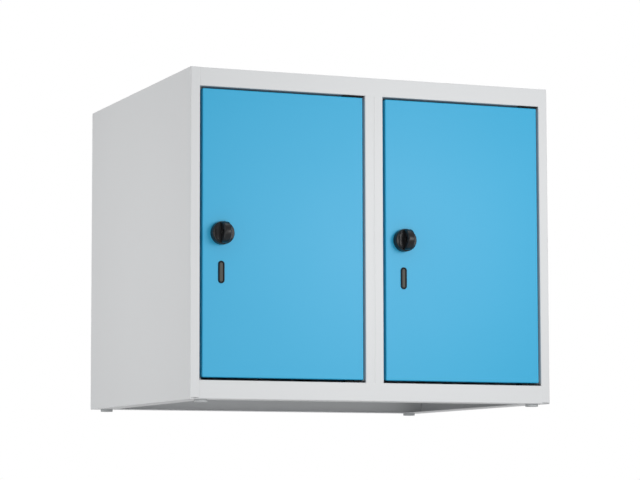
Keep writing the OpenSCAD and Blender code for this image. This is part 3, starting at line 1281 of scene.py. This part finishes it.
@dataclass
class Door:
    """One door with its stiffener, hinge pins, paint guard and latch."""

    side: Side
    shop: Workshop
    steel_easing: float = 0.3 * MM

    def build(self) -> None:
        """Makes the paint guard and the lock's pieces."""
        name = self.side.value
        low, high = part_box(f"{name}_lock_rosette")
        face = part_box(f"{name}_door_skin")[0].y
        axis = Vector(((low.x + high.x) / 2, face, (low.z + high.z) / 2))
        cam_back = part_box(f"{name}_lock_cam")[1].y
        CornerWelds(self.side).build(self.shop)
        PaintGuard(self.side).build(self.shop)
        Escutcheon(self.side).build(self.shop, Matrix.Translation(axis) @ OUTWARD)
        Knob(self.side).build(self.shop, Matrix.Translation(axis) @ OUTWARD)
        CamBolt(self.side).build(self.shop, Matrix.Translation((axis.x, cam_back, axis.z)) @ INWARD)

    def dress(self) -> None:
        """Finishes the sheets, the pins, the nut and the cam."""
        name = self.side.value
        for sheet in ("door_skin", "door_stiffener"):
            self.shop.finish_node(f"{name}_{sheet}", DOOR_COAT)
        for pin in ("hinge_pin_top", "hinge_pin_bottom"):
            self.shop.finish_node(f"{name}_{pin}", BLACK_STEEL, self.steel_easing)
        for steel in ("lock_nut", "lock_cam"):
            self.shop.finish_node(f"{name}_{steel}", ZINC, self.steel_easing)


# ---------------------------------------------------------------- the studio


@dataclass(frozen=True)
class Softbox:
    """One square lamp that faces a point of the object.

    Its size is in metres and its power in watts. A lamp that isn't mirrored gives no
    highlight on the object.
    """

    name: str
    place: Point3
    target: Point3
    size: float
    power: float
    mirrored: bool = True

    def build(self) -> bpy.types.Object:
        """Makes the lamp.

        Returns:
            The lamp.
        """
        data = bpy.data.lights.new(self.name, "AREA")
        data.shape = "SQUARE"
        data.size = self.size
        data.energy = self.power
        lamp = bpy.data.objects.new(self.name, data)
        lamp.location = self.place
        lamp.visible_glossy = self.mirrored
        aim = Vector(self.target) - Vector(self.place)
        lamp.rotation_euler = aim.to_track_quat("-Z", "Y").to_euler()
        bpy.context.scene.collection.objects.link(lamp)
        return lamp


@dataclass(frozen=True)
class PhotoCamera:
    """The photograph's view, solved from seven corners of the sheet body.

    Its place is measured from the middle of the body's front face, on the floor.
    """

    place: Point3 = (-1.5222, -3.4539, -0.1390)
    yaw_deg: float = 21.111
    pitch_deg: float = 5.411
    focal_px: float = 2464.2
    image_px: Point2 = (640.0, 480.0)
    axis_px: Point2 = (260.0, 262.0)
    sensor_mm: float = 36.0

    def build(self) -> None:
        """Makes the camera and sets it as the scene's."""
        width, height = self.image_px
        data = bpy.data.cameras.new("photo_camera")
        data.sensor_width = self.sensor_mm
        data.lens = self.focal_px / width * self.sensor_mm
        data.shift_x = (width / 2 - self.axis_px[0]) / width
        data.shift_y = (self.axis_px[1] - height / 2) / width
        camera = bpy.data.objects.new("photo_camera", data)
        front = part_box("side_panel_left")[0].y
        camera.location = Vector(self.place) + Vector((0.0, front, 0.0))
        camera.rotation_euler = (math.radians(90 + self.pitch_deg), 0, -math.radians(self.yaw_deg))
        bpy.context.scene.collection.objects.link(camera)
        bpy.context.scene.camera = camera


@dataclass
class Studio:
    """Plain pale floor, white surroundings and soft lamps."""

    floor_half: float = 6.0
    floor_grey: float = 0.9
    floor_fill: float = 0.62
    paper_clouds_per_metre: float = 3.0
    paper_shade: float = 0.98
    sky: float = 0.44
    ground: float = 0.38
    horizon: float = 0.35
    lamps: tuple[Softbox, ...] = (
        Softbox("key_softbox", (0.52, -1.42, 0.384), (0.0, -0.24, 0.26), 0.5, 6.4),
        Softbox("low_softbox", (-0.35, -1.45, 0.03), (0.0, -0.24, 0.26), 0.5, 4.2),
        Softbox("left_softbox", (-1.25, 0.0, 0.22), (-0.3, 0.0, 0.24), 0.6, 3.6),
        Softbox("top_softbox", (0.3, 0.2, 3.2), (0.0, 0.0, 0.3), 1.8, 34.0),
        Softbox("rear_softbox", (1.4, 2.6, 1.0), (0.0, 0.1, 0.3), 1.4, 26.0, mirrored=False),
    )

    def build(self) -> None:
        """Makes the camera, the world, the floor and the lamps."""
        PhotoCamera().build()
        self._world()
        # The sky alone lights the floor, so it is evenly white and its shadow is soft
        not_floor = bpy.data.collections.new("all_but_floor")
        not_floor.objects.link(self._floor())
        not_floor.collection_objects[0].light_linking.link_state = "EXCLUDE"
        for softbox in self.lamps:
            softbox.build().light_linking.receiver_collection = not_floor
        bpy.context.scene.view_settings.view_transform = "Standard"

    @staticmethod
    def _seen(graph: Graph) -> Signal:
        """1 for rays that show the surroundings: straight, mirrored or through glass.

        Args:
            graph: The nodes of a material or world.

        Returns:
            The number, 1 or 0.
        """
        path = graph.node("ShaderNodeLightPath").outputs
        rays = ("Is Camera Ray", "Is Glossy Ray", "Is Transmission Ray")
        camera, glossy, through = (Signal(graph, path[name]) for name in rays)
        return camera + glossy + through

    def _world(self) -> None:
        """White surroundings, which light the object a little less from below."""
        world = bpy.data.worlds.new("studio_world")
        bpy.context.scene.world = world
        world.use_nodes = True
        graph = Graph(world.node_tree)
        direction = graph.node("ShaderNodeTexCoord").outputs["Generated"]
        height = graph.signal("ShaderNodeSeparateXYZ", None, {0: direction}, "Z")
        light = graph.signal(
            "ShaderNodeMapRange",
            {"interpolation_type": "SMOOTHSTEP"},
            {
                "Value": height,
                "From Min": -self.horizon,
                "From Max": self.horizon,
                "To Min": self.ground,
                "To Max": self.sky,
            },
        )
        lit, seen = (
            graph.node("ShaderNodeBackground", None, {"Color": rgba(WHITE), "Strength": strength}).outputs[0]
            for strength in (light, 1.0)
        )
        mixed = graph.node("ShaderNodeMixShader", None, {0: self._seen(graph), 1: lit, 2: seen})
        graph.node("ShaderNodeOutputWorld", None, {"Surface": mixed.outputs[0]})

    def _floor(self) -> bpy.types.Object:
        """Makes the floor: pale, with the object's shadow, and clear when seen from below.

        Returns:
            The floor.
        """
        mesh = bmesh.new()
        bmesh.ops.create_grid(mesh, x_segments=1, y_segments=1, size=self.floor_half)
        floor = object_from("studio_floor", mesh)
        surface = bpy.data.materials.new("floor_paper")
        surface.use_nodes = True
        graph = Graph(surface.node_tree)
        place = graph.node("ShaderNodeTexCoord").outputs["Object"]
        pale = (self.floor_grey,) * 3
        clouds = graph.noise(place, self.paper_clouds_per_metre)
        tint = graph.mix(clouds, rgba(pale), rgba(darker(pale, self.paper_shade)))
        paper = graph.node("ShaderNodeBsdfDiffuse", None, {"Color": tint})
        glow = graph.node("ShaderNodeEmission", None, {"Strength": self._seen(graph) * self.floor_fill})
        top = graph.node("ShaderNodeAddShader", None, {0: paper.outputs[0], 1: glow.outputs[0]})
        clear = graph.node("ShaderNodeBsdfTransparent")
        below = graph.node("ShaderNodeNewGeometry").outputs["Backfacing"]
        both = graph.node("ShaderNodeMixShader", None, {0: below, 1: top.outputs[0], 2: clear.outputs[0]})
        graph.node("ShaderNodeOutputMaterial", None, {"Surface": both.outputs[0]})
        floor.data.materials.append(surface)
        floor.visible_diffuse = False
        floor.visible_shadow = False
        return floor


def main() -> None:
    """Loads the frame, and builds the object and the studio."""
    logging.basicConfig(level=logging.INFO, format="%(name)s: %(message)s")
    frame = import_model()
    Studio().build()
    shop = Workshop(frame["nodes"])
    carcass = Carcass(shop)
    carcass.build()
    carcass.dress()
    for side in Side:
        door = Door(side, shop)
        door.build()
        door.dress()


if __name__ == "__main__":
    main()
